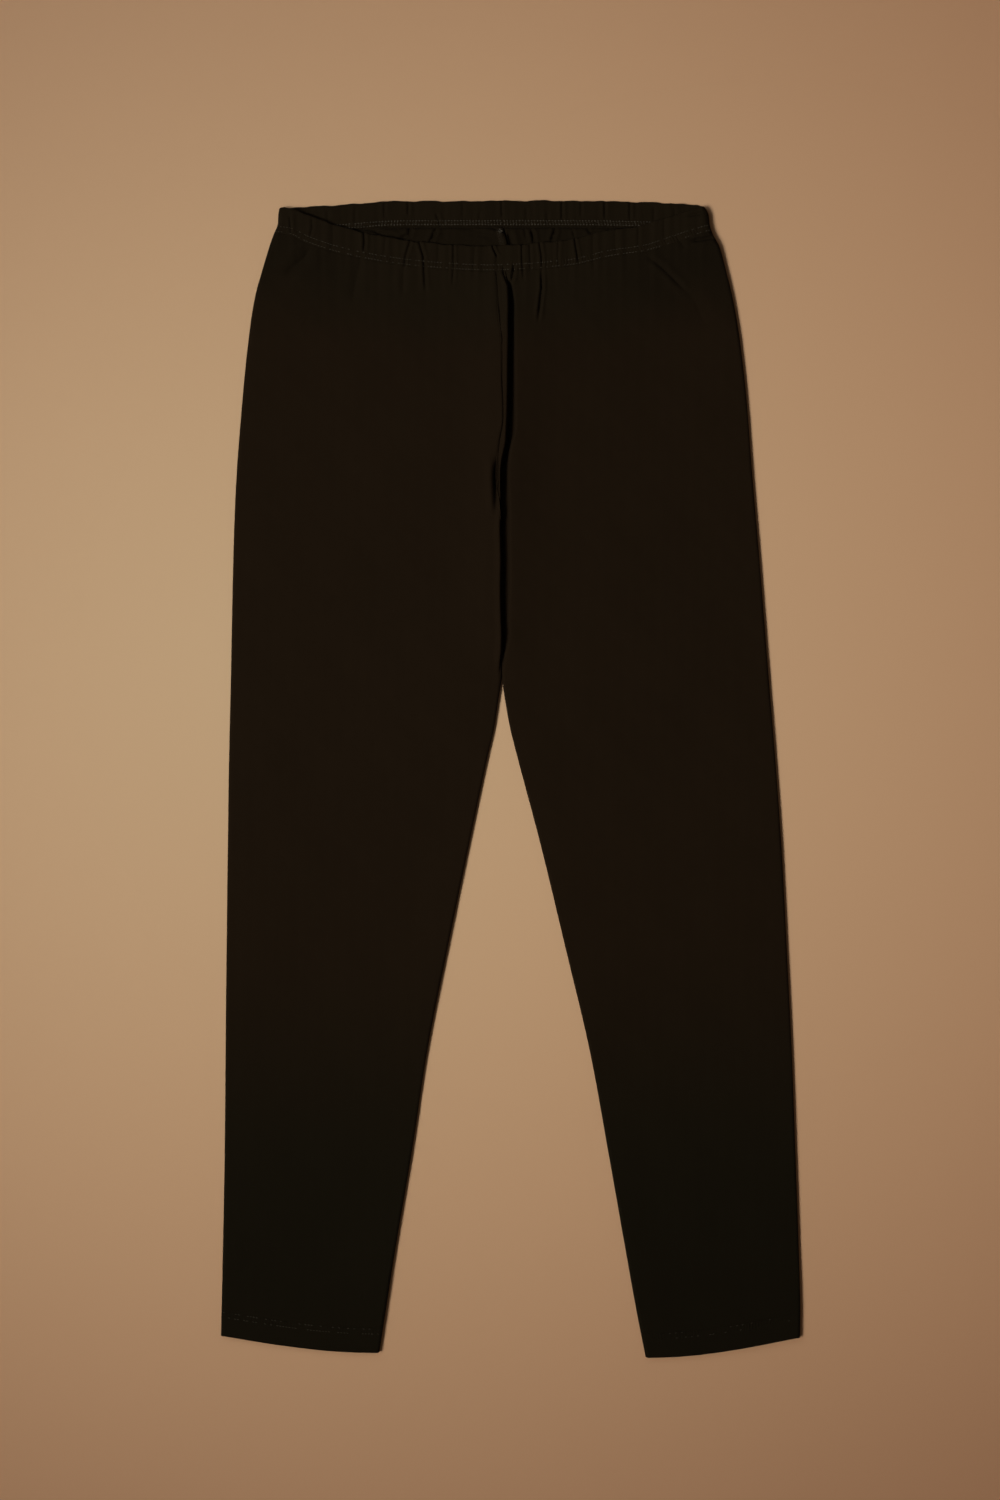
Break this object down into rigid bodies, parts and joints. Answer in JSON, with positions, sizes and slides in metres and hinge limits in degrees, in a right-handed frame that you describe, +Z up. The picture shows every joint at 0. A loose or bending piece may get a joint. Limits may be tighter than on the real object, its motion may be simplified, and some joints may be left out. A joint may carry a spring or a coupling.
{
  "type": "leggings",
  "caption": "Full-length jersey leggings laid flat, front up, with a gathered elastic waistband cut lower in front, a deep fold beside the centre seam, and cover-stitched hems.",
  "frame": {"origin": "on the surface the leggings lie on, under the middle of their outline", "axes": "+X towards the wearer's left, +Y towards the waist, +Z up from the surface"},
  "size_m": [0.4727, 0.944, 0.0088],
  "materials": {
    "jersey": "near-black cotton jersey, matt, with a faint brown cast",
    "waistband": "doubled jersey gathered over elastic, cover stitched",
    "hem": "doubled jersey, cover stitched",
    "overlock": "overlocked seam edge in matching thread"
  },
  "bodies": {
    "root": {"leg_right": "jersey", "leg_left": "jersey", "waistband": "waistband", "hem_right": "hem", "hem_left": "hem", "back_seam_allowance": "overlock"}
  },
  "joints": []
}
